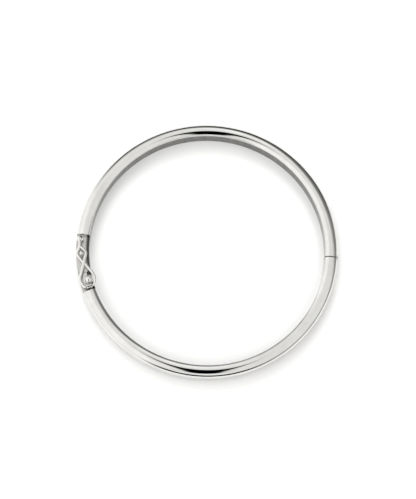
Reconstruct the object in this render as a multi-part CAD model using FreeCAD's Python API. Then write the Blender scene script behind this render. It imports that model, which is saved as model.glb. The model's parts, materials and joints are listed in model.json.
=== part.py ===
import FreeCAD, Part
import math
import os

"""Hollow hinged bangle with a push-button tongue clasp and a figure-eight safety catch.

Units are millimetres. The origin is the centre of the wrist opening at mid-width. +Z runs along
the bangle's axis towards the edge that carries the clasp recess, and +X points to the main hinge.
Angles are degrees about +Z from +X: the upper half runs from the hinge (0) to the clasp seam, and
the lower half from the clasp seam back to the hinge (360).
"""

Vector = FreeCAD.Vector
ORIGIN = Vector(0, 0, 0)
AXIS_Z = Vector(0, 0, 1)

# Tube section: flat band inside, crowned edges, rounded shoulders and a low outer face
INNER_R = 28.4
OUTER_R = 31.5
CREST_R = 29.7
CREST_Z = 2.5
CROWN_RADIUS = 2.0
SHOULDER_RADIUS = 1.6
INNER_CORNER_RADIUS = 0.45
SHEET = 0.35

# Clasp recess in the +Z edge
RECESS_START_DEG = 178.0
RECESS_END_DEG = 204.9
SEAM_DEG = 195.5
SEAM_GAP = 0.10
FLOOR_TOP_Z = 0.80
FLOOR_BOTTOM_Z = FLOOR_TOP_Z - SHEET
END_PLATE = 0.5

# Main hinge: three barrels on a pin, dressed flush with the outer face
PIN_X = 30.9
PIN_R = 0.34
PIN_HALF_LENGTH = 1.68
BARREL_R = 0.60
BARREL_HALF_LENGTH = 1.70
MIDDLE_BARREL_HALF_LENGTH = 0.55
BARREL_END_GAP = 0.05
BARREL_CLEARANCE = 0.08
PIN_CLEARANCE = 0.03
HINGE_SEAM_GAP = 0.12
HINGE_BLOCK_DEG = 3.4
HINGE_RELIEF_DEG = 30.0
DRESSED_DEG = 5.0

# Safety catch: a wire figure-eight that turns in a tube on the lower half
SAFETY_HINGE_R = 29.6
SAFETY_HINGE_DEG = 203.1
CATCH_BALL_R = 30.1
CATCH_BALL_DEG = 187.1
SAFETY_Z = 2.28
WIRE_R = 0.33
SAFETY_TUBE_R = 0.62
SAFETY_TUBE_HALF_LENGTH = 0.60
SAFETY_TUBE_CLEARANCE = 0.04
SAFETY_FOOT_HALF_WIDTH = 0.42
TIP_BALL_RADIUS = 0.75
TIP_BALL_DISTANCE = 11.9
TIP_BALL_SIDE = -0.45
LOOPS_MEET = 10.2
WELD_RADIUS = 0.36
CATCH_BALL_RADIUS = 0.55
CATCH_BALL_Z = 2.43
CATCH_POST_RADIUS = 0.30

# Half of the figure-eight, from the middle of its hinge bar to the tip: distance from the hinge
# bar, distance to the side, bend radius. The wire crosses to the other side between the loops.
FIGURE_EIGHT_HALF = [
    (0.0, 0.0, 0.0),
    (0.0, 1.22, 0.70),
    (2.1, 1.92, 2.60),
    (8.45, -1.24, 1.60),
    (LOOPS_MEET, 0.0, 0.0),
]

# Push button on the springing leaf of the tongue
BUTTON_R = 29.35
BUTTON_DEG = 199.5
BUTTON_HEAD_RADIUS = 1.10
BUTTON_HEAD_BOTTOM_Z = 1.40
BUTTON_RIM = 0.30
BUTTON_DOME = 0.55
BUTTON_STEM_RADIUS = 0.25
STEM_SLOT_HALF_WIDTH = 0.32

# V-spring tongue, in its own frame: x into the lower half from the button, y towards the wrist
LEAF_THICKNESS = 0.35
LEAF_OUTER_Y = -0.60
LEAF_INNER_Y = 0.23
LEAF_CLEARANCE = 0.10
LEAF_ROOT_X = -2.8
FOLD_X = 2.25
LOWER_LEAF_BOTTOM_Z = -1.75
FOLD_OUTER_RADIUS = 0.53
FOLD_SPLIT_GAP = 0.05
SPRING_LEAF_END_X = -1.25
SPRING_LEAF_END_Z = -0.43
CATCH_OPENING_TOP_Z = -0.55
OPEN_SIDE_Y = 1.2

# How far cutting shapes reach past the tube, and the recess past the clasp seam
CUT_MARGIN = 2.0
SEAM_OVERRUN_DEG = 1.0


def point_at(radius, degrees, z=0.0):
    """A point at a radius and angle about the bangle's axis."""
    angle = math.radians(degrees)
    return Vector(radius * math.cos(angle), radius * math.sin(angle), z)


def degrees_for(length, radius=CREST_R):
    """The angle about the bangle's axis that an arc length spans."""
    return math.degrees(length / radius)


def arc_centre_z(radius, centre_r):
    """Height of the centre of an arc that meets the crown from inside, smoothly."""
    drop = math.sqrt((CROWN_RADIUS - radius) ** 2 - (centre_r - CREST_R) ** 2)
    return CREST_Z - CROWN_RADIUS + drop


INNER_CORNER_R = INNER_R + INNER_CORNER_RADIUS
SHOULDER_R = OUTER_R - SHOULDER_RADIUS
BAND_HALF_WIDTH = arc_centre_z(INNER_CORNER_RADIUS, INNER_CORNER_R)
OUTER_FACE_HALF_WIDTH = arc_centre_z(SHOULDER_RADIUS, SHOULDER_R)


def edge_arc(centre, radius, start, end):
    """An arc of the section about a centre, from one heading to another, in degrees from +X."""
    headings = [math.radians(value) for value in (start, (start + end) / 2, end)]
    points = [
        centre + Vector(radius * math.cos(heading), 0, radius * math.sin(heading))
        for heading in headings
    ]
    return Part.Arc(points[0], points[1], points[2]).toShape()


def contour_edges(inset):
    """The section's outline without its inner side, an even distance inside the outer surface."""
    crown = Vector(CREST_R, 0, CREST_Z - CROWN_RADIUS)
    corner = Vector(INNER_CORNER_R, 0, BAND_HALF_WIDTH)
    shoulder = Vector(SHOULDER_R, 0, OUTER_FACE_HALF_WIDTH)
    to_corner = math.degrees(math.atan2(corner.z - crown.z, corner.x - crown.x))
    to_shoulder = math.degrees(math.atan2(shoulder.z - crown.z, shoulder.x - crown.x))
    edges = [
        edge_arc(corner, INNER_CORNER_RADIUS - inset, to_corner, 180),
        edge_arc(crown, CROWN_RADIUS - inset, to_shoulder, to_corner),
        edge_arc(shoulder, SHOULDER_RADIUS - inset, 0, to_shoulder),
    ]
    edges += [edge.mirror(ORIGIN, AXIS_Z) for edge in edges]
    outer = OUTER_R - inset
    low = Vector(outer, 0, -OUTER_FACE_HALF_WIDTH)
    high = Vector(outer, 0, OUTER_FACE_HALF_WIDTH)
    return edges + [line(low, high)]


def face_of(edges):
    return Part.Face(Part.Wire(Part.__sortEdges__(edges)))


def line(start, end):
    return Part.LineSegment(start, end).toShape()


def filled_section(inset):
    """The whole section inside the outline at this inset."""
    inner = INNER_R + inset
    low = Vector(inner, 0, -BAND_HALF_WIDTH)
    high = Vector(inner, 0, BAND_HALF_WIDTH)
    return face_of(contour_edges(inset) + [line(low, high)])


def shell_section():
    """The outer sheet, with its rolled edges that meet the inner band."""
    edges = contour_edges(0) + contour_edges(SHEET)
    for side in (1, -1):
        outer = Vector(INNER_R, 0, side * BAND_HALF_WIDTH)
        inner = Vector(INNER_R + SHEET, 0, side * BAND_HALF_WIDTH)
        edges.append(line(outer, inner))
    return face_of(edges)


def band_section():
    """The flat inner band."""
    low = Vector(INNER_R, 0, -BAND_HALF_WIDTH)
    return Part.makePlane(SHEET, 2 * BAND_HALF_WIDTH, low, Vector(0, -1, 0), Vector(1, 0, 0))


def swept(face, start_deg, end_deg):
    """A section revolved about the bangle's axis between two angles."""
    turned = face.copy()
    turned.rotate(ORIGIN, AXIS_Z, start_deg)
    return turned.revolve(ORIGIN, AXIS_Z, end_deg - start_deg)


def slab(low_z, high_z):
    """A block wide enough for the whole bangle, between two heights."""
    size = 4 * OUTER_R
    return Part.makeBox(size, size, high_z - low_z, Vector(-size / 2, -size / 2, low_z))


def above_floor(low_z, start_deg, end_deg):
    """The space over the recess from a height up, between two angles."""
    width = OUTER_R - INNER_R + 2 * CUT_MARGIN
    height = CREST_Z + CUT_MARGIN - low_z
    low = Vector(INNER_R - CUT_MARGIN, 0, low_z)
    face = Part.makePlane(width, height, low, Vector(0, -1, 0), Vector(1, 0, 0))
    return swept(face, start_deg, end_deg)


def barrel(radius, low_z, high_z):
    """A cylinder about the main hinge pin."""
    return Part.makeCylinder(radius, high_z - low_z, Vector(PIN_X, 0, low_z), AXIS_Z)


def outer_barrels(radius, gap):
    """Cylinders at the places of the two outer barrels, longer by a gap at each end."""
    low = MIDDLE_BARREL_HALF_LENGTH + BARREL_END_GAP - gap
    high = BARREL_HALF_LENGTH + gap
    return [barrel(radius, low, high), barrel(radius, -high, -low)]


def middle_barrel(radius, gap):
    half = MIDDLE_BARREL_HALF_LENGTH + gap
    return barrel(radius, -half, half)


def hinge_relief():
    """The wedge outside the pin that both halves leave free, so that they can open."""
    reach = 2 * CUT_MARGIN
    angle = math.radians(HINGE_RELIEF_DEG)
    tip = Vector(PIN_X, 0, -2 * CREST_Z)
    far = [
        tip + Vector(reach * math.cos(angle), side * reach * math.sin(angle), 0)
        for side in (-1, 1)
    ]
    outline = Part.makePolygon([tip, far[0], far[1], tip])
    return Part.Face(outline).extrude(Vector(0, 0, 4 * CREST_Z))


def main_hinge_cutters(own_is_outer):
    """What a half gives up at its hinge end: beds for both sets of barrels, and the relief."""
    loose_r = BARREL_R + BARREL_CLEARANCE
    if own_is_outer:
        beds = outer_barrels(BARREL_R, 0) + [middle_barrel(loose_r, BARREL_END_GAP)]
    else:
        beds = outer_barrels(loose_r, BARREL_END_GAP) + [middle_barrel(BARREL_R, 0)]
    return beds + [hinge_relief()]


def cut_all(shape, cutters):
    for cutter in cutters:
        shape = shape.cut(cutter)
    return shape


def clasp_placement():
    """Frame of the tongue: x into the lower half, square to the line from the hinge pin."""
    button = point_at(BUTTON_R, BUTTON_DEG)
    from_pin = button - Vector(PIN_X, 0, 0)
    heading = math.degrees(math.atan2(from_pin.x, -from_pin.y))
    return FreeCAD.Placement(button, FreeCAD.Rotation(AXIS_Z, heading))


def safety_placement():
    """Frame of the figure-eight: x from its hinge bar to the catch ball, at the wire's height."""
    bar = point_at(SAFETY_HINGE_R, SAFETY_HINGE_DEG, SAFETY_Z)
    ball = point_at(CATCH_BALL_R, CATCH_BALL_DEG, SAFETY_Z)
    along = ball - bar
    heading = math.degrees(math.atan2(along.y, along.x))
    return FreeCAD.Placement(bar, FreeCAD.Rotation(AXIS_Z, heading))


def placed(shape, placement):
    moved = shape.copy()
    moved.transformShape(placement.toMatrix())
    return moved


def block(x0, x1, y0, y1, z0, z1):
    return Part.makeBox(x1 - x0, y1 - y0, z1 - z0, Vector(x0, y0, z0))


def outer_shell(start_deg, end_deg, recess, cutters):
    shape = swept(shell_section(), start_deg, end_deg)
    return cut_all(shape.cut(recess), cutters)


def inner_strip(start_deg, end_deg, recess):
    return swept(band_section(), start_deg, end_deg).cut(recess)


def recess_floor(start_deg, end_deg, openings):
    floor = swept(filled_section(0), start_deg, end_deg)
    return cut_all(floor.common(slab(FLOOR_BOTTOM_Z, FLOOR_TOP_Z)), openings)


def recess_end_wall(start_deg, end_deg):
    wall = swept(filled_section(SHEET), start_deg, end_deg)
    return wall.common(slab(FLOOR_BOTTOM_Z, 2 * CREST_Z))


def clasp_end_plate(start_deg, end_deg, openings):
    plate = swept(filled_section(SHEET), start_deg, end_deg)
    return cut_all(plate.common(slab(-2 * CREST_Z, FLOOR_BOTTOM_Z)), openings)


def hinge_block(start_deg, end_deg, cutters):
    return cut_all(swept(filled_section(SHEET), start_deg, end_deg), cutters)


def hinge_barrels(solids, bore_r):
    """Barrels bored for the pin and dressed flush with the tube."""
    tube = swept(filled_section(0), -DRESSED_DEG, DRESSED_DEG)
    bore = barrel(bore_r, -2 * CREST_Z, 2 * CREST_Z)
    return [solid.cut(bore).common(tube) for solid in solids]


def rounded_path(corners):
    """Straight runs joined by tangent arcs, from (x, y, bend radius) corners in a plane."""
    points = [Vector(x, y, 0) for x, y, _ in corners]
    edges = []
    start = points[0]
    for number in range(1, len(points) - 1):
        corner = points[number]
        radius = corners[number][2]
        back = (points[number - 1] - corner).normalize()
        ahead = (points[number + 1] - corner).normalize()
        half_angle = back.getAngle(ahead) / 2
        reach = radius / math.tan(half_angle)
        first = corner + back * reach
        last = corner + ahead * reach
        middle_way = (back + ahead).normalize()
        to_arc = radius / math.sin(half_angle) - radius
        edges.append(line(start, first))
        edges.append(Part.Arc(first, corner + middle_way * to_arc, last).toShape())
        start = last
    edges.append(line(start, points[-1]))
    return Part.Wire(edges)


def round_wire(path, radius):
    """A round wire along a path."""
    first = path.Edges[0]
    start = first.valueAt(first.FirstParameter)
    heading = first.tangentAt(first.FirstParameter)
    profile = Part.Wire(Part.makeCircle(radius, start, heading))
    return path.makePipeShell([profile], True, False)


def figure_eight():
    """The wire of the safety catch: two mirrored halves, crossing between the loops."""
    half = round_wire(rounded_path(FIGURE_EIGHT_HALF), WIRE_R)
    other = half.mirror(ORIGIN, Vector(0, 1, 0))
    meeting = Vector(LOOPS_MEET, 0, 0)
    to_tip = Vector(TIP_BALL_DISTANCE, TIP_BALL_SIDE, 0) - meeting
    stem = Part.makeCylinder(WIRE_R, to_tip.Length, meeting, to_tip)
    joint = Part.makeSphere(WELD_RADIUS, meeting)
    wire = half.fuse([other, stem, joint])
    return placed(wire, safety_placement()).cut(tip_ball())


def tip_ball():
    """The lifting ball, on a tip that bends a little towards the wrist side."""
    centre = Vector(TIP_BALL_DISTANCE, TIP_BALL_SIDE, 0)
    return placed(Part.makeSphere(TIP_BALL_RADIUS, centre), safety_placement())


def safety_tube():
    """The tube that the figure-eight's bar turns in."""
    length = 2 * SAFETY_TUBE_HALF_LENGTH
    end = Vector(0, -SAFETY_TUBE_HALF_LENGTH, 0)
    along = Vector(0, 1, 0)
    tube = Part.makeCylinder(SAFETY_TUBE_R, length, end, along)
    bore = Part.makeCylinder(WIRE_R + SAFETY_TUBE_CLEARANCE, length, end, along)
    return placed(tube.cut(bore), safety_placement())


def safety_foot():
    """The foot between the recess floor and the tube, hollowed to the tube's round."""
    half_width = SAFETY_FOOT_HALF_WIDTH
    half_length = SAFETY_TUBE_HALF_LENGTH
    foot = block(-half_width, half_width, -half_length, half_length, FLOOR_TOP_Z - SAFETY_Z, 0)
    length = 2 * half_length
    tube = Part.makeCylinder(SAFETY_TUBE_R, length, Vector(0, -half_length, 0), Vector(0, 1, 0))
    return placed(foot.cut(tube), safety_placement())


def catch_ball():
    return Part.makeSphere(CATCH_BALL_RADIUS, point_at(CATCH_BALL_R, CATCH_BALL_DEG, CATCH_BALL_Z))


def catch_post():
    foot = point_at(CATCH_BALL_R, CATCH_BALL_DEG, FLOOR_TOP_Z)
    height = CATCH_BALL_Z - FLOOR_TOP_Z
    return Part.makeCylinder(CATCH_POST_RADIUS, height, foot, AXIS_Z).cut(catch_ball())


def leaf_profile(corners):
    """A flat strip of the spring's width with this outline of (x, z) corners."""
    points = [Vector(x, LEAF_OUTER_Y, z) for x, z in corners]
    face = Part.Face(Part.makePolygon(points + [points[0]]))
    return face.extrude(Vector(0, LEAF_INNER_Y - LEAF_OUTER_Y, 0))


def fold_ring():
    """The round of the spring's fold, as a thick ring about the fold's own axis."""
    centre = Vector(FOLD_X, LEAF_OUTER_Y, fold_z())
    width = LEAF_INNER_Y - LEAF_OUTER_Y
    along = Vector(0, 1, 0)
    outer = Part.makeCylinder(FOLD_OUTER_RADIUS, width, centre, along)
    return outer.cut(Part.makeCylinder(FOLD_OUTER_RADIUS - LEAF_THICKNESS, width, centre, along))


def fold_z():
    return LOWER_LEAF_BOTTOM_Z + FOLD_OUTER_RADIUS


def tongue_lower_leaf():
    """The fixed leaf, from inside the upper half to the fold, with the lower round of the fold."""
    top = LOWER_LEAF_BOTTOM_Z + LEAF_THICKNESS
    strip = block(LEAF_ROOT_X, FOLD_X, LEAF_OUTER_Y, LEAF_INNER_Y, LOWER_LEAF_BOTTOM_Z, top)
    reach = FOLD_OUTER_RADIUS
    below = block(
        FOLD_X, FOLD_X + reach, LEAF_OUTER_Y, LEAF_INNER_Y, fold_z() - reach, fold_z()
    )
    return placed(strip.fuse(fold_ring().common(below)).removeSplitter(), clasp_placement())


def tongue_spring_leaf():
    """The springing leaf, with the upper round of the fold, rising to its free end."""
    reach = FOLD_OUTER_RADIUS
    low = fold_z() + FOLD_OUTER_RADIUS - LEAF_THICKNESS
    above = block(
        FOLD_X, FOLD_X + reach, LEAF_OUTER_Y, LEAF_INNER_Y,
        fold_z() + FOLD_SPLIT_GAP, fold_z() + reach,
    )
    strip = leaf_profile([
        (FOLD_X, low),
        (FOLD_X, low + LEAF_THICKNESS),
        (SPRING_LEAF_END_X, SPRING_LEAF_END_Z + LEAF_THICKNESS),
        (SPRING_LEAF_END_X, SPRING_LEAF_END_Z),
    ])
    return placed(strip.fuse(fold_ring().common(above)).removeSplitter(), clasp_placement())


def button_stem():
    """The stem, standing on the springing leaf and ending in the button's head."""
    low = LOWER_LEAF_BOTTOM_Z + 2 * FOLD_OUTER_RADIUS - LEAF_THICKNESS
    stem = Part.makeCylinder(BUTTON_STEM_RADIUS, BUTTON_HEAD_BOTTOM_Z - low, Vector(0, 0, low), AXIS_Z)
    return placed(stem, clasp_placement()).cut(tongue_spring_leaf())


def button_cap():
    """A short rim with a low dome."""
    base = Vector(0, 0, BUTTON_HEAD_BOTTOM_Z)
    rim = Part.makeCylinder(BUTTON_HEAD_RADIUS, BUTTON_RIM, base, AXIS_Z)
    dome_radius = (BUTTON_HEAD_RADIUS ** 2 + BUTTON_DOME ** 2) / (2 * BUTTON_DOME)
    top = BUTTON_HEAD_BOTTOM_Z + BUTTON_RIM + BUTTON_DOME
    ball = Part.makeSphere(dome_radius, Vector(0, 0, top - dome_radius))
    above = slab(BUTTON_HEAD_BOTTOM_Z + BUTTON_RIM, 2 * CREST_Z)
    return placed(rim.fuse(ball.common(above)).removeSplitter(), clasp_placement())


def tongue_root_slot():
    """The slot in the upper half's end plate that holds the fixed leaf."""
    top = LOWER_LEAF_BOTTOM_Z + LEAF_THICKNESS
    slot = block(LEAF_ROOT_X, FOLD_X, LEAF_OUTER_Y, LEAF_INNER_Y, LOWER_LEAF_BOTTOM_Z, top)
    return placed(slot, clasp_placement())


def end_plate_opening():
    """The opening for the leaves, with a narrower one for the stem above. The band closes its side."""
    low_z = LOWER_LEAF_BOTTOM_Z - LEAF_CLEARANCE
    outer_y = LEAF_OUTER_Y - LEAF_CLEARANCE
    wide = block(LEAF_ROOT_X, FOLD_X, outer_y, OPEN_SIDE_Y, low_z, CATCH_OPENING_TOP_Z)
    narrow = block(
        LEAF_ROOT_X, FOLD_X, -STEM_SLOT_HALF_WIDTH, OPEN_SIDE_Y, CATCH_OPENING_TOP_Z, CREST_Z
    )
    return placed(wide.fuse(narrow), clasp_placement())


def stem_slot():
    """The slot in the recess floor that lets the stem in from the seam."""
    half = STEM_SLOT_HALF_WIDTH
    run = block(LEAF_ROOT_X, 0, -half, half, 0, 2 * FLOOR_TOP_Z)
    end = Part.makeCylinder(half, 2 * FLOOR_TOP_Z, ORIGIN, AXIS_Z)
    return placed(run.fuse(end), clasp_placement())


def save(name, shapes):
    """Write one node as valid solids."""
    solids = [solid for shape in shapes for solid in shape.Solids]
    for solid in solids:
        if not solid.isValid() or solid.Volume <= 0:
            raise ValueError(name + " is not a valid solid")
    whole = solids[0] if len(solids) == 1 else Part.makeCompound(solids)
    whole.exportStep("parts/" + name + ".step")


def build():
    os.makedirs("parts", exist_ok=True)
    hinge_gap = degrees_for(HINGE_SEAM_GAP / 2)
    seam_gap = degrees_for(SEAM_GAP / 2)
    sheet = degrees_for(SHEET)
    plate = degrees_for(END_PLATE)

    upper_start = hinge_gap
    upper_end = SEAM_DEG - seam_gap
    upper_recess = above_floor(FLOOR_BOTTOM_Z, RECESS_START_DEG, SEAM_DEG + SEAM_OVERRUN_DEG)
    upper_cutters = main_hinge_cutters(own_is_outer=True)
    save("upper_outer_shell", [outer_shell(upper_start, upper_end, upper_recess, upper_cutters)])
    save("upper_inner_strip", [inner_strip(upper_start, upper_end, upper_recess)])
    save("upper_recess_floor", [recess_floor(RECESS_START_DEG, upper_end, [])])
    save("upper_recess_end_wall", [recess_end_wall(RECESS_START_DEG - sheet, RECESS_START_DEG)])
    save("upper_clasp_end_plate", [
        clasp_end_plate(upper_end - plate, upper_end, [tongue_root_slot()])
    ])
    save("upper_hinge_block", [hinge_block(upper_start, HINGE_BLOCK_DEG, upper_cutters)])
    save("upper_hinge_knuckles", hinge_barrels(outer_barrels(BARREL_R, 0), PIN_R))
    save("hinge_pin", [barrel(PIN_R, -PIN_HALF_LENGTH, PIN_HALF_LENGTH)])
    save("catch_ball", [catch_ball()])
    save("catch_ball_post", [catch_post()])
    save("tongue_lower_leaf", [tongue_lower_leaf()])

    save("tongue_spring_leaf", [tongue_spring_leaf()])
    save("release_button_stem", [button_stem()])
    save("release_button_cap", [button_cap()])

    lower_start = SEAM_DEG + seam_gap
    lower_end = 360 - hinge_gap
    lower_recess = above_floor(FLOOR_BOTTOM_Z, SEAM_DEG - SEAM_OVERRUN_DEG, RECESS_END_DEG)
    lower_cutters = main_hinge_cutters(own_is_outer=False)
    save("lower_outer_shell", [outer_shell(lower_start, lower_end, lower_recess, lower_cutters)])
    save("lower_inner_strip", [inner_strip(lower_start, lower_end, lower_recess)])
    save("lower_recess_floor", [recess_floor(lower_start, RECESS_END_DEG, [stem_slot()])])
    save("lower_recess_end_wall", [recess_end_wall(RECESS_END_DEG, RECESS_END_DEG + sheet)])
    save("lower_clasp_end_plate", [
        clasp_end_plate(lower_start, lower_start + plate, [end_plate_opening()])
    ])
    save("lower_hinge_block", [hinge_block(360 - HINGE_BLOCK_DEG, lower_end, lower_cutters)])
    save("lower_hinge_knuckle", hinge_barrels([middle_barrel(BARREL_R, 0)], PIN_R + PIN_CLEARANCE))
    save("safety_hinge_tube", [safety_tube()])
    save("safety_hinge_foot", [safety_foot()])

    save("safety_figure_eight", [figure_eight()])
    save("safety_tip_ball", [tip_ball()])


build()
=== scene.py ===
import json
import math

import bmesh
import bpy
from mathutils import Matrix, Vector


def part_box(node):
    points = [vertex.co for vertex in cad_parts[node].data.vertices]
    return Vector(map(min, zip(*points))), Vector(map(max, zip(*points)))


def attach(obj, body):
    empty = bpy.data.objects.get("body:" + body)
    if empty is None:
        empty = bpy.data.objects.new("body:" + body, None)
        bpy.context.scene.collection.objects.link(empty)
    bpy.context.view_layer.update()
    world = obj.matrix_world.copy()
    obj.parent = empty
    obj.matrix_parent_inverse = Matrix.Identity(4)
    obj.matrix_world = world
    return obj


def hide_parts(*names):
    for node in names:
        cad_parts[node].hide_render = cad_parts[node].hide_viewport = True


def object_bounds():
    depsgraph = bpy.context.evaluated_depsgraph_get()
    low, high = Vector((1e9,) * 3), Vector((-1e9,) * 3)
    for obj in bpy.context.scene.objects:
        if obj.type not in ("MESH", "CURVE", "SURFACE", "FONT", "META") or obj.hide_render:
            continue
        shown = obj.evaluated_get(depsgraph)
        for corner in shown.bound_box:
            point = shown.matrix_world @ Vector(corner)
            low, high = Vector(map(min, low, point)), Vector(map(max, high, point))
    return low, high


# Looks of a hollow silver bangle: a hinged ring with a push-button clasp and a wire safety catch.
# Lengths are metres, unless a name says mm. The tube, the wire and the balls are built finely around
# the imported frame, so that their polish reflects cleanly. The flat-faced parts are the frame's own.

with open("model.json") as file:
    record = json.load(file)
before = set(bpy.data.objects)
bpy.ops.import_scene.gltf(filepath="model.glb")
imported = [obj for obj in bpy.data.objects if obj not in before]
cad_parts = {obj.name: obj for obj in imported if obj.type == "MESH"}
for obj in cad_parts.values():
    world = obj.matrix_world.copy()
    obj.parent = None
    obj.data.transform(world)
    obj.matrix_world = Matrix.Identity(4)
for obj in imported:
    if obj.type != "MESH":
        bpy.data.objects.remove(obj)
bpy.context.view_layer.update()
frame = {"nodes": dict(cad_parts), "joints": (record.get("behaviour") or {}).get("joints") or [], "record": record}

MM = 0.001
UP = Vector((0, 0, 1))

# Tube section, as radii from the bangle's axis and heights from mid-width
CREST_R = 29.7 * MM
CROWN_RADIUS = 2.0 * MM
SHOULDER_RADIUS = 1.6 * MM
INNER_CORNER_RADIUS = 0.45 * MM
SHEET = 0.35 * MM
STEPS_PER_TURN = 480
BAND_ROWS = 8
CORNER_STEPS = 4
CROWN_STEPS = 12
SHOULDER_STEPS = 8
OUTSIDE_FINENESS = 3

# Main hinge: the tubes' ends are eased back from the seam, and clear the barrels
HINGE_EASE_DEG = 0.15
HINGE_CLEARANCE = 0.08 * MM
WEDGE_REACH = 4 * MM
WEDGE_HALF_DEG = 30

# Recess cutter, past the tube and past the seam between the halves
CUTTER_MARGIN = 2 * MM
SEAM_OVERRUN_DEG = 2

# Half of the figure-eight, from the middle of its hinge bar: along, aside and bend radius in mm
WIRE_HALF = [
    (0.0, 0.0, 0.0),
    (0.0, 1.22, 0.70),
    (2.1, 1.92, 2.60),
    (8.45, -1.24, 1.60),
    (10.2, 0.0, 0.0),
]
WIRE_RADIUS = 0.33 * MM
WIRE_STEP = 0.12 * MM
WIRE_SIDES = 28
WELD_RADIUS = 0.36 * MM
CROSSING_LIFT = 0.10 * MM
CROSSING_SPREAD = 0.9 * MM

# Tube of the catch's hinge
TUBE_HALF_LENGTH = 0.60 * MM
TUBE_BORE = 0.37 * MM
TUBE_EASE = 0.08 * MM

# Button head
BUTTON_RIM = 0.30 * MM
BUTTON_EDGE = 0.08 * MM
BUTTON_STEPS = 16
BUTTON_BRIM = 0.98

# Turned pieces
TURNED_SIDES = 96
BALL_SIDES = 72
BALL_ROWS = 40
SHARP_DEG = 30

# Painted shade along the recess's inner side, next to the inner wall: distances from the inner wall, and how much
# light is left
PAINTED_SHADE_START = 0.4 * MM
PAINTED_SHADE_END = 1.0 * MM
PAINTED_SHADE_LEVEL = 0.12

# Camera
CAMERA_AZIMUTH_DEG = -90.13
CAMERA_ELEVATION_DEG = 75.26
CAMERA_ROLL_DEG = 4.39
CAMERA_DISTANCE = 0.3303
CAMERA_SHIFT = (0.0018, 0.0008)
CAMERA_REACH = (0.01, 10)
LENS_MM = 98.8
SENSOR_MM = 36

# Stage: a dome of light, a low dark ring that only reflections see, and two lamps over the floor
DOME_RADIUS = 1.2
FLOOR_RADIUS = 1.5 * DOME_RADIUS
FLOOR_SIDES = 128
TABLE_EDGE_RADIUS = 0.064
TABLE_EDGE_HEIGHT = 0.0160
LIGHT_COLOR = (1.0, 0.997, 0.988, 1)
WORLD_COLOR = (1, 0.99, 0.975, 1)
LAMPS = [
    ("back_box", Vector((-0.08, 0.72, 0.72)), 0.6, 3.4),
    ("overhead_box", Vector((0, 0, 1.0)), 1.4, 3.8),
]

# Lobes of light: azimuth, elevation, the angles where each is full and where it has faded, and level
ROOM_LOBES = [
    (60, 18, 16, 48, 0.22),
    (8, 14, 10, 36, 0.24),
    (94, 50, 10, 22, 1.20),
    (-86, 28, 12, 23, 1.10),
    (128, 54, 12, 26, 1.02),
]
SOFT_BOX_LOBES = [
    (-28, 40, 22, 44, 1.00),
    (-166, 25, 40, 60, 1.25),
]
CAMERA_COLUMN_LOBES = [(-86, elevation, 4.5, 8.5, 0.0) for elevation in range(54, 93, 6)]
TABLE_EDGE_LOBES = [
    (-30, 0, 14, 40, 0.50),
    (8, 0, 8, 30, 0.35),
    (-166, 0, 42, 60, 1.15),
]
HORIZON_LEVEL = 0.28
MIDDLE_RISE = 0.30
TOP_RISE = 0.40
SKIRT_LEVEL = 0.05
SKIRT_HEIGHTS = (0.05, 0.24)
TABLE_EDGE_LEVEL = 0.02


# The frame's places

def joint(name):
    return next(item for item in frame["joints"] if item["name"] == name)


def centre_of(node):
    low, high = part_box(node)
    return (low + high) / 2


def half_height(node):
    low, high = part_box(node)
    return (high.z - low.z) / 2


def node_angles(node):
    """The first and last angle about the bangle's axis that a node spans, in degrees."""
    angles = []
    for vertex in frame["nodes"][node].data.vertices:
        angles.append(math.degrees(math.atan2(vertex.co.y, vertex.co.x)) % 360)
    return min(angles), max(angles)


INNER_R = frame["record"]["mounts"][0]["dims"]["r_mm"] * MM
OUTER_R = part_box("upper_outer_shell")[1].y
CREST_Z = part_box("upper_outer_shell")[1].z
RECESS_BOTTOM_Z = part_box("upper_recess_floor")[0].z


# Meshes

def new_object(name, vertices, faces):
    mesh = bpy.data.meshes.new(name)
    mesh.from_pydata([tuple(v) for v in vertices], [], faces)
    mesh.validate()
    mesh.update()
    piece = bpy.data.objects.new(name, mesh)
    bpy.context.scene.collection.objects.link(piece)
    return piece


def closed_object(name, vertices, faces):
    """A new object whose faces all look outwards."""
    piece = new_object(name, vertices, faces)
    mesh = bmesh.new()
    mesh.from_mesh(piece.data)
    bmesh.ops.recalc_face_normals(mesh, faces=mesh.faces)
    mesh.to_mesh(piece.data)
    mesh.free()
    return piece


def strip_faces(first, second):
    """Faces between two rings of vertices of the same length."""
    faces = []
    for index in range(len(first)):
        after = (index + 1) % len(first)
        faces.append((first[index], first[after], second[after], second[index]))
    return faces


def cap_faces(rings):
    """The two faces that close a row of rings."""
    return [tuple(rings[0]), tuple(reversed(rings[-1]))]


def arc(centre, radius, start_deg, end_deg, steps):
    """Points of an arc in the section plane, both ends included."""
    points = []
    for step in range(steps + 1):
        angle = math.radians(start_deg + (end_deg - start_deg) * step / steps)
        points.append((centre[0] + radius * math.cos(angle), centre[1] + radius * math.sin(angle)))
    return points


def arc_height(radius, centre_r):
    """Height of the centre of an arc that meets the crown smoothly from inside."""
    drop = math.sqrt((CROWN_RADIUS - radius) ** 2 - (centre_r - CREST_R) ** 2)
    return CREST_Z - CROWN_RADIUS + drop


def arc_centre(radius, centre_r):
    return centre_r, arc_height(radius, centre_r)


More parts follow.
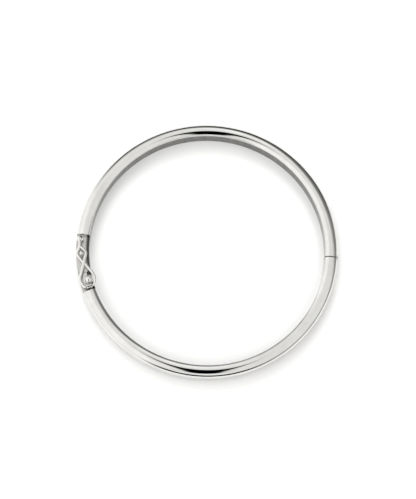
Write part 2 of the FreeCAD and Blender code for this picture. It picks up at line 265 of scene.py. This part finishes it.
def half_contour(inset, fineness):
    """The upper half of the section's outline, from the inner band to the outer face."""
    corner = arc_centre(INNER_CORNER_RADIUS, INNER_R + INNER_CORNER_RADIUS)
    shoulder = arc_centre(SHOULDER_RADIUS, OUTER_R - SHOULDER_RADIUS)
    crown = (CREST_R, CREST_Z - CROWN_RADIUS)
    to_corner = math.degrees(math.atan2(corner[1] - crown[1], corner[0] - crown[0]))
    to_shoulder = math.degrees(math.atan2(shoulder[1] - crown[1], shoulder[0] - crown[0]))
    points = arc(corner, INNER_CORNER_RADIUS - inset, 180, to_corner, CORNER_STEPS * fineness)
    points += arc(crown, CROWN_RADIUS - inset, to_corner, to_shoulder, CROWN_STEPS * fineness)[1:]
    points += arc(shoulder, SHOULDER_RADIUS - inset, to_shoulder, 0, SHOULDER_STEPS * fineness)[1:]
    return points


def shell_outline():
    """The closed outline of the rolled outer sheet."""
    outside = half_contour(0, OUTSIDE_FINENESS)
    inside = half_contour(SHEET, 1)
    outside += [(r, -z) for r, z in reversed(outside)]
    inside += [(r, -z) for r, z in reversed(inside)]
    return outside + list(reversed(inside))


def band_outline():
    """The closed outline of the flat inner band."""
    half_width = arc_height(INNER_CORNER_RADIUS, INNER_R + INNER_CORNER_RADIUS)
    inner = []
    for row in range(BAND_ROWS + 1):
        inner.append((INNER_R, half_width - 2 * half_width * row / BAND_ROWS))
    return inner + [(r + SHEET, z) for r, z in reversed(inner)]


def ring_piece(name, outline, start_deg, end_deg):
    """An outline swept about the bangle's axis between two angles, with closed ends."""
    steps = max(2, round(STEPS_PER_TURN * (end_deg - start_deg) / 360))
    count = len(outline)
    vertices = []
    rings = []
    for step in range(steps + 1):
        angle = math.radians(start_deg + (end_deg - start_deg) * step / steps)
        rings.append(range(step * count, (step + 1) * count))
        vertices += [(r * math.cos(angle), r * math.sin(angle), z) for r, z in outline]
    faces = []
    for first, second in zip(rings, rings[1:]):
        faces += strip_faces(first, second)
    return closed_object(name, vertices, faces + cap_faces(rings))


def lathe(name, profile, matrix, sides=TURNED_SIDES):
    """A profile of (radius, height) points turned about its own axis and put in place.

    It closes on itself where the profile's last point is its first."""
    vertices = []
    rings = []
    for number, (radius, height) in enumerate(profile):
        if number > 0 and (radius, height) == profile[0]:
            rings.append(rings[0])
        elif radius <= 0:
            rings.append([len(vertices)])
            vertices.append(matrix @ Vector((0, 0, height)))
        else:
            rings.append(list(range(len(vertices), len(vertices) + sides)))
            for side in range(sides):
                angle = 2 * math.pi * side / sides
                point = Vector((radius * math.cos(angle), radius * math.sin(angle), height))
                vertices.append(matrix @ point)
    faces = []
    for low, high in zip(rings, rings[1:]):
        if len(low) == 1:
            faces += [(low[0], high[(side + 1) % sides], high[side]) for side in range(sides)]
        elif len(high) == 1:
            faces += [(low[side], low[(side + 1) % sides], high[0]) for side in range(sides)]
        else:
            faces += strip_faces(low, high)
    return closed_object(name, vertices, faces)


def cylinder(name, centre, radius, low_z, high_z):
    profile = [(0, low_z), (radius, low_z), (radius, high_z), (0, high_z)]
    return lathe(name, profile, Matrix.Translation(centre))


def ball(name, centre, radius):
    profile = [(0, -radius)]
    for row in range(1, BALL_ROWS):
        angle = math.pi * row / BALL_ROWS
        profile.append((radius * math.sin(angle), -radius * math.cos(angle)))
    profile.append((0, radius))
    return lathe(name, profile, Matrix.Translation(centre), BALL_SIDES)


def cut(piece, cutter):
    """Take a cutting shape away from a piece."""
    modifier = piece.modifiers.new("cut", "BOOLEAN")
    modifier.operation = "DIFFERENCE"
    modifier.solver = "EXACT"
    modifier.object = cutter
    with bpy.context.temp_override(object=piece, active_object=piece):
        bpy.ops.object.modifier_apply(modifier="cut")
    bpy.data.objects.remove(cutter)


def recess_cutter(start_deg, end_deg):
    """The clasp recess between two angles, open upwards and to both sides."""
    low_r, high_r = INNER_R - CUTTER_MARGIN, OUTER_R + CUTTER_MARGIN
    low_z, high_z = RECESS_BOTTOM_Z, CREST_Z + CUTTER_MARGIN
    outline = [(low_r, low_z), (high_r, low_z), (high_r, high_z), (low_r, high_z)]
    return ring_piece("cutter", outline, start_deg, end_deg)


def barrel_bed():
    """The round bed of the hinge's barrels."""
    low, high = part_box("upper_hinge_knuckles")
    pin = centre_of("hinge_pin")
    radius = (high.y - low.y) / 2 + HINGE_CLEARANCE
    low_z, high_z = low.z - HINGE_CLEARANCE, high.z + HINGE_CLEARANCE
    return cylinder("cutter", Vector((pin.x, 0, 0)), radius, low_z, high_z)


def relief_wedge():
    """The wedge outside the pin that both halves leave free, so that they can swing."""
    tip_x = centre_of("hinge_pin").x
    far_x = tip_x + WEDGE_REACH * math.cos(math.radians(WEDGE_HALF_DEG))
    far_y = WEDGE_REACH * math.sin(math.radians(WEDGE_HALF_DEG))
    vertices = []
    for z in (-2 * CREST_Z, 2 * CREST_Z):
        vertices += [(tip_x, 0, z), (far_x, -far_y, z), (far_x, far_y, z)]
    faces = [(0, 2, 1), (3, 4, 5), (0, 1, 4, 3), (1, 2, 5, 4), (2, 0, 3, 5)]
    return new_object("cutter", vertices, faces)


# Wire

def rounded(corners):
    """Points along straight runs and tangent arcs, from (x, y, bend radius) corners in mm."""
    spots = [Vector((x, y)) * MM for x, y, _ in corners]
    points = []
    start = spots[0]
    for number in range(1, len(spots) - 1):
        corner = spots[number]
        radius = corners[number][2] * MM
        back = (spots[number - 1] - corner).normalized()
        ahead = (spots[number + 1] - corner).normalized()
        half_angle = back.angle(ahead) / 2
        reach = radius / math.tan(half_angle)
        first, last = corner + back * reach, corner + ahead * reach
        centre = corner + (back + ahead).normalized() * radius / math.sin(half_angle)
        points += run(start, first)
        points += bend(centre, first, last)
        start = last
    return points + run(start, spots[-1]) + [spots[-1]]


def run(start, end):
    """Points along a straight run, without its end."""
    steps = max(1, math.ceil((end - start).length / WIRE_STEP))
    return [start.lerp(end, step / steps) for step in range(steps)]


def bend(centre, first, last):
    """Points along a bend, without its end."""
    from_centre, to_centre = first - centre, last - centre
    turn = from_centre.angle_signed(to_centre)
    steps = max(4, math.ceil(abs(turn) * from_centre.length / WIRE_STEP))
    points = []
    for step in range(steps):
        angle = -turn * step / steps
        points.append(centre + Matrix.Rotation(angle, 2) @ from_centre)
    return points


def wire(name, path, matrix):
    """A round wire along points in space, with closed ends."""
    vertices = []
    rings = []
    for number, point in enumerate(path):
        before = path[max(0, number - 1)]
        after = path[min(len(path) - 1, number + 1)]
        heading = (after - before).normalized()
        across = heading.cross(UP).normalized()
        over = across.cross(heading)
        rings.append(range(len(vertices), len(vertices) + WIRE_SIDES))
        for side in range(WIRE_SIDES):
            angle = 2 * math.pi * side / WIRE_SIDES
            out = math.cos(angle) * across + math.sin(angle) * over
            vertices.append(matrix @ (point + WIRE_RADIUS * out))
    faces = []
    for first, second in zip(rings, rings[1:]):
        faces += strip_faces(first, second)
    return closed_object(name, vertices, faces + cap_faces(rings))


def crossing_place(path):
    """How far along the wire's two halves cross, between the loops."""
    for before, after in zip(path[1:], path[2:]):
        if before.y > 0 >= after.y:
            return after.x
    return path[-1].x


def safety_matrix():
    """Frame of the figure-eight: x from its hinge bar to the catch ball, at the wire's height."""
    hinge = joint("safety_hinge")
    aside = -Vector(hinge["axis"]).normalized()
    along = aside.cross(UP)
    turn = Matrix((along, aside, UP)).transposed()
    return Matrix.Translation(Vector(hinge["pos_m"])) @ turn.to_4x4()


# Materials

def add_node(tree, kind, values=None, links=None):
    """A shader node, with constants and other nodes' outputs put into its sockets."""
    node = tree.nodes.new("ShaderNode" + kind)
    for socket, value in (values or {}).items():
        node.inputs[socket].default_value = value
    for socket, source in (links or {}).items():
        tree.links.new(source, node.inputs[socket])
    return node


def noise(tree, place, scale, detail, roughness):
    values = {"Scale": scale, "Detail": detail, "Roughness": roughness}
    return add_node(tree, "TexNoise", values, {"Vector": place}).outputs["Fac"]


def map_range(tree, value, source, target=(0, 1), soft=False):
    values = {"From Min": source[0], "From Max": source[1], "To Min": target[0], "To Max": target[1]}
    node = add_node(tree, "MapRange", values, {"Value": value})
    if soft:
        node.interpolation_type = "SMOOTHSTEP"
    return node.outputs["Result"]


def color_ramp(tree, factor, dark, light, dark_place=0.0, light_place=1.0):
    node = add_node(tree, "ValToRGB", links={"Fac": factor})
    first, last = node.color_ramp.elements
    first.position, first.color = dark_place, (*dark, 1)
    last.position, last.color = light_place, (*light, 1)
    return node.outputs["Color"]


def bump(tree, height, distance, strength, under=None):
    """A bump over the surface, or over another bump."""
    links = {"Height": height}
    if under:
        links["Normal"] = under
    values = {"Strength": strength, "Distance": distance}
    return add_node(tree, "Bump", values, links).outputs["Normal"]


def scratch_height(tree, place, grain):
    """Narrow grooves along the edges of fine cells."""
    cells = add_node(tree, "TexVoronoi", {"Scale": grain}, {"Vector": place})
    cells.feature = "DISTANCE_TO_EDGE"
    return map_range(tree, cells.outputs["Distance"], (0, 0.06))


def shaded_towards_wall(tree, place, color):
    """A colour with painted shade, darker towards the recess's inner side."""
    flat = add_node(tree, "VectorMath", {1: (1, 1, 0)}, {0: place})
    flat.operation = "MULTIPLY"
    reach = add_node(tree, "VectorMath", links={0: flat.outputs["Vector"]})
    reach.operation = "LENGTH"
    source = (INNER_R + PAINTED_SHADE_START, INNER_R + PAINTED_SHADE_END)
    lit_share = map_range(tree, reach.outputs["Value"], source, (PAINTED_SHADE_LEVEL, 1), soft=True)
    scaled = add_node(tree, "VectorMath", links={0: color})
    scaled.operation = "SCALE"
    tree.links.new(lit_share, scaled.inputs["Scale"])
    return scaled.outputs["Vector"]


def metal(name, dark, light, smooth, worn, grain=2600, relief=1.0, stretch=(1, 1, 1), painted_wall_shade=False):
    """Silver between two tones and two roughnesses, with fine scratches and a soft hand-made wave."""
    material = bpy.data.materials.new(name)
    material.use_nodes = True
    tree = material.node_tree
    shader = tree.nodes["Principled BSDF"]
    shader.inputs["Metallic"].default_value = 1.0
    place = add_node(tree, "TexCoord").outputs["Object"]
    stretched = add_node(tree, "Mapping", {"Scale": stretch}, {"Vector": place}).outputs["Vector"]

    tone = noise(tree, stretched, scale=180, detail=5, roughness=0.6)
    color = color_ramp(tree, tone, dark, light, 0.35, 0.65)
    # Painted shade: where asked, the colour darkens towards the recess's inner wall.
    if painted_wall_shade:
        color = shaded_towards_wall(tree, place, color)
    tree.links.new(color, shader.inputs["Base Color"])

    polish = noise(tree, stretched, scale=grain / 4, detail=6, roughness=0.7)
    tree.links.new(map_range(tree, polish, (0.35, 0.75), (smooth, worn)), shader.inputs["Roughness"])

    wave = noise(tree, stretched, scale=420, detail=2, roughness=0.5)
    soft_wave = bump(tree, wave, 4e-6 * relief, 1.0)
    scratches = bump(tree, scratch_height(tree, stretched, grain), 6e-7 * relief, 0.5, soft_wave)
    tree.links.new(scratches, shader.inputs["Normal"])
    return material


MATERIALS = {
    "polished_shell": metal(
        "polished_silver", (0.685, 0.68, 0.665), (0.75, 0.745, 0.73), 0.015, 0.05),
    # The inner band's silver is the polished silver made much darker: painted shade on the inner wall.
    "inner_band": metal(
        "inner_silver_painted_shade", (0.12, 0.118, 0.114), (0.19, 0.187, 0.182), 0.06, 0.18, stretch=(4, 4, 0.8)),
    # The recess silver is satin, and carries painted shade along its inner side.
    "recess_metal": metal(
        "satin_silver_and_painted_shade", (0.50, 0.495, 0.485), (0.66, 0.655, 0.64), 0.08, 0.20, relief=0.8, painted_wall_shade=True),
    "clasp_metal": metal(
        "filed_silver", (0.62, 0.61, 0.59), (0.74, 0.73, 0.71), 0.24, 0.40, relief=3, stretch=(1, 1, 4)),
    "hinge_metal": metal(
        "hinge_silver", (0.22, 0.218, 0.21), (0.36, 0.356, 0.348), 0.08, 0.18),
    "catch_metal": metal(
        "wire_silver", (0.70, 0.69, 0.67), (0.78, 0.77, 0.75), 0.03, 0.08, grain=3600),
}
SLOT_OF = {part["node"]: part["material_slot"] for part in frame["record"]["subparts"]}
BODY_OF = {
    node: body
    for body, members in frame["record"]["behaviour"]["bodies"].items()
    for node in members
}


# Pieces

def dress(piece, node):
    """A piece that stands for a CAD node: the finish of the node's slot and the node's body; the node itself is
    hidden.
    """
    for polygon in piece.data.polygons:
        polygon.use_smooth = True
    piece.data.set_sharp_from_angle(angle=math.radians(SHARP_DEG))
    piece.data.materials.clear()
    piece.data.materials.append(MATERIALS[SLOT_OF[node]])
    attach(piece, BODY_OF[node])
    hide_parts(node)


def build_half(half, name, node, outline):
    """One half's tube or inner band, with its part of the recess cut away."""
    start, end = node_angles(node)
    if half == "upper":
        start += HINGE_EASE_DEG
        recess = (node_angles("upper_recess_floor")[0], end + SEAM_OVERRUN_DEG)
    else:
        end -= HINGE_EASE_DEG
        recess = (start - SEAM_OVERRUN_DEG, node_angles("lower_recess_floor")[1])
    piece = ring_piece(name, outline, start, end)
    cut(piece, recess_cutter(*recess))
    if name.startswith("tube"):
        cut(piece, barrel_bed())
        cut(piece, relief_wedge())
    dress(piece, node)


def build_shells():
    for half in ("upper", "lower"):
        build_half(half, "tube_" + half, half + "_outer_shell", shell_outline())
        build_half(half, "band_" + half, half + "_inner_strip", band_outline())


def build_figure_eight():
    """Two mirrored wires that cross one over the other, and meet under the tip ball's stem."""
    matrix = safety_matrix()
    half = rounded(WIRE_HALF)
    for side, name in ((1, "left"), (-1, "right")):
        path = []
        for point in half:
            crossing = (point.x - crossing_place(half)) / CROSSING_SPREAD
            lift = side * CROSSING_LIFT * math.exp(-crossing * crossing)
            path.append(Vector((point.x, side * point.y, lift)))
        dress(wire("figure_eight_" + name, path, matrix), "safety_figure_eight")
    tip = matrix.inverted() @ centre_of("safety_tip_ball")
    meeting = Vector((WIRE_HALF[-1][0] * MM, 0, 0))
    stem = [meeting.lerp(tip, step / 8) for step in range(9)]
    dress(wire("figure_eight_tip", stem, matrix), "safety_figure_eight")
    dress(ball("figure_eight_weld", matrix @ meeting, WELD_RADIUS), "safety_figure_eight")


def build_balls():
    for name, node in (("tip_ball", "safety_tip_ball"), ("catch_ball_round", "catch_ball")):
        dress(ball(name, centre_of(node), half_height(node)), node)


def build_button():
    """The domed head of the push button, from the middle of its underside to its top."""
    low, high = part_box("release_button_cap")
    radius = (high.x - low.x) / 2
    top = high.z - low.z
    dome = top - BUTTON_RIM
    dome_radius = (radius ** 2 + dome ** 2) / (2 * dome)
    edge_angle = math.asin(radius / dome_radius)
    profile = [
        (0, 0),
        (radius - BUTTON_EDGE, 0),
        (radius, BUTTON_EDGE),
        (radius, BUTTON_RIM - BUTTON_EDGE / 2),
        (radius * BUTTON_BRIM, BUTTON_RIM),
    ]
    for step in range(1, BUTTON_STEPS):
        angle = edge_angle * (1 - step / BUTTON_STEPS)
        height = top - dome_radius + dome_radius * math.cos(angle)
        profile.append((dome_radius * math.sin(angle), height))
    profile.append((0, top))
    centre = centre_of("release_button_cap")
    matrix = Matrix.Translation((centre.x, centre.y, low.z))
    dress(lathe("button_head", profile, matrix), "release_button_cap")


def build_tube():
    """The tube that the catch's bar turns in, with its ends eased."""
    matrix = safety_matrix() @ Matrix.Rotation(math.radians(-90), 4, "X")
    radius, half = half_height("safety_hinge_tube"), TUBE_HALF_LENGTH
    profile = [
        (TUBE_BORE, -half),
        (radius - TUBE_EASE, -half),
        (radius, TUBE_EASE - half),
        (radius, half - TUBE_EASE),
        (radius - TUBE_EASE, half),
        (TUBE_BORE, half),
        (TUBE_BORE, -half),
    ]
    dress(lathe("catch_tube", profile, matrix), "safety_hinge_tube")


def dress_rest():
    """The frame's own pieces, which keep their shapes."""
    for name, node in frame["nodes"].items():
        if node.hide_render:
            continue
        node.data.materials.clear()
        node.data.materials.append(MATERIALS[SLOT_OF[name]])


# Stage

def direction(azimuth_deg, elevation_deg):
    azimuth, elevation = math.radians(azimuth_deg), math.radians(elevation_deg)
    flat = math.cos(elevation)
    return Vector((flat * math.cos(azimuth), flat * math.sin(azimuth), math.sin(elevation)))


def hide_from_camera(thing, glossy=True, diffuse=True, shadow=False):
    thing.visible_camera = False
    thing.visible_glossy = glossy
    thing.visible_diffuse = diffuse
    thing.visible_shadow = shadow
    thing.visible_transmission = False
    thing.visible_volume_scatter = False


class Sky:
    """A light whose level changes with the direction in the room, as broad soft lobes."""

    def __init__(self, name, level):
        self.material = bpy.data.materials.new(name)
        self.material.use_nodes = True
        self.tree = self.material.node_tree
        self.tree.nodes.clear()
        place = add_node(self.tree, "TexCoord").outputs["Object"]
        unit = add_node(self.tree, "VectorMath", links={0: place})
        unit.operation = "NORMALIZE"
        self.heading = unit.outputs["Vector"]
        self.level = level

    def math(self, operation, first, second):
        """A sum on the two values, each a number or another node's output."""
        node = add_node(self.tree, "Math")
        node.operation = operation
        for socket, value in zip(node.inputs, (first, second)):
            if isinstance(value, (int, float)):
                socket.default_value = value
            else:
                self.tree.links.new(value, socket)
        return node.outputs["Value"]

    def along(self, axis):
        """How far the direction points along an axis, from -1 to 1."""
        node = add_node(self.tree, "VectorMath", {1: axis}, {0: self.heading})
        node.operation = "DOT_PRODUCT"
        return node.outputs["Value"]

    def ease(self, value, start, end):
        return map_range(self.tree, value, (start, end), soft=True)

    def rise(self, amount, start, end):
        """Add light from one height of the direction to another."""
        height = self.ease(self.along(UP), start, end)
        self.level = self.math("ADD", self.level, self.math("MULTIPLY", height, amount))

    def toward(self, weight, target):
        """Move the light towards a level where the weight is 1."""
        gap = self.math("SUBTRACT", target, self.level)
        self.level = self.math("ADD", self.level, self.math("MULTIPLY", gap, weight))

    def lobes(self, rows):
        """Move the light to each lobe's level, softly from its faded angle to its full one."""
        for azimuth, elevation, full_deg, fade_deg, level in rows:
            near = math.cos(math.radians(full_deg))
            far = math.cos(math.radians(fade_deg))
            self.toward(self.ease(self.along(direction(azimuth, elevation)), far, near), level)

    def finish(self):
        emission = add_node(self.tree, "Emission", {"Color": LIGHT_COLOR}, {"Strength": self.level})
        add_node(self.tree, "OutputMaterial", links={"Surface": emission.outputs["Emission"]})
        return self.material


def sky_material():
    """Soft boxes at the left, front and back of a grey room, and the dark column of the camera."""
    sky = Sky("dome_light", HORIZON_LEVEL)
    sky.rise(MIDDLE_RISE, 0.0, 0.50)
    sky.rise(TOP_RISE, 0.50, 0.95)
    sky.lobes(ROOM_LOBES)
    skirt = sky.math("SUBTRACT", 1.0, sky.ease(sky.along(UP), *SKIRT_HEIGHTS))
    sky.toward(skirt, SKIRT_LEVEL)
    sky.lobes(SOFT_BOX_LOBES)
    sky.lobes(CAMERA_COLUMN_LOBES)
    return sky.finish()


def table_edge_material():
    """The dark table edge round the object, brightest where the left soft box stands over it."""
    sky = Sky("table_edge_light", TABLE_EDGE_LEVEL)
    sky.lobes(TABLE_EDGE_LOBES)
    return sky.finish()


def floor_material():
    material = bpy.data.materials.new("pale_floor")
    material.use_nodes = True
    tree = material.node_tree
    shader = tree.nodes["Principled BSDF"]
    shader.inputs["Roughness"].default_value = 0.9
    shader.inputs["Specular IOR Level"].default_value = 0.1
    place = add_node(tree, "TexCoord").outputs["Object"]
    tone = add_node(tree, "TexNoise", {"Scale": 60}, {"Vector": place}).outputs["Fac"]
    color = color_ramp(tree, tone, (0.90, 0.90, 0.895), (0.94, 0.94, 0.935))
    tree.links.new(color, shader.inputs["Base Color"])
    return material


def build_floor(height):
    vertices = []
    for side in range(FLOOR_SIDES):
        angle = 2 * math.pi * side / FLOOR_SIDES
        vertices.append((FLOOR_RADIUS * math.cos(angle), FLOOR_RADIUS * math.sin(angle), height))
    floor = new_object("floor", vertices, [tuple(range(FLOOR_SIDES))])
    floor.data.materials.append(floor_material())


def build_dome():
    dome = ball("dome", Vector((0, 0, 0)), DOME_RADIUS)
    for polygon in dome.data.polygons:
        polygon.use_smooth = True
    dome.data.materials.append(sky_material())
    hide_from_camera(dome)


def build_table_edge(height):
    """A low wall round the object, which gives the dark line of the horizon in its polish."""
    profile = [(TABLE_EDGE_RADIUS, height), (TABLE_EDGE_RADIUS, height + TABLE_EDGE_HEIGHT)]
    edge = lathe("table_edge", profile, Matrix.Identity(4))
    edge.data.materials.append(table_edge_material())
    hide_from_camera(edge, diffuse=False)


def build_lamp(name, place, size, watts):
    """A round soft lamp over the floor, which the polish doesn't show."""
    light = bpy.data.lights.new(name, "AREA")
    light.shape = "DISK"
    light.size = size
    light.energy = watts
    holder = bpy.data.objects.new(name, light)
    holder.location = place
    holder.rotation_euler = (-place).to_track_quat("-Z", "Y").to_euler()
    bpy.context.scene.collection.objects.link(holder)
    hide_from_camera(holder, glossy=False, shadow=True)


def build_world():
    world = bpy.data.worlds.new("studio")
    world.use_nodes = True
    background = world.node_tree.nodes["Background"]
    background.inputs["Color"].default_value = WORLD_COLOR
    background.inputs["Strength"].default_value = 1.0
    bpy.context.scene.world = world


def build_stage():
    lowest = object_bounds()[0].z
    build_floor(lowest)
    build_dome()
    build_table_edge(lowest)
    for lamp in LAMPS:
        build_lamp(*lamp)
    build_world()


def camera_rotation():
    """Looking back at the origin, rolled about the line of sight."""
    back = direction(CAMERA_AZIMUTH_DEG, CAMERA_ELEVATION_DEG)
    level = direction(CAMERA_AZIMUTH_DEG + 90, 0)
    roll = math.radians(CAMERA_ROLL_DEG)
    right = level * math.cos(roll) + back.cross(level) * math.sin(roll)
    return Matrix((right, back.cross(right), back)).transposed()


def build_camera():
    data = bpy.data.cameras.new("camera")
    data.sensor_width = SENSOR_MM
    data.lens = LENS_MM
    data.shift_x, data.shift_y = CAMERA_SHIFT
    data.clip_start, data.clip_end = CAMERA_REACH
    camera = bpy.data.objects.new("camera", data)
    bpy.context.scene.collection.objects.link(camera)
    place = direction(CAMERA_AZIMUTH_DEG, CAMERA_ELEVATION_DEG) * CAMERA_DISTANCE
    camera.matrix_world = Matrix.Translation(place) @ camera_rotation().to_4x4()
    bpy.context.scene.camera = camera


build_shells()
build_figure_eight()
build_balls()
build_button()
build_tube()
dress_rest()
build_stage()
build_camera()
bpy.context.scene.view_settings.view_transform = "Standard"
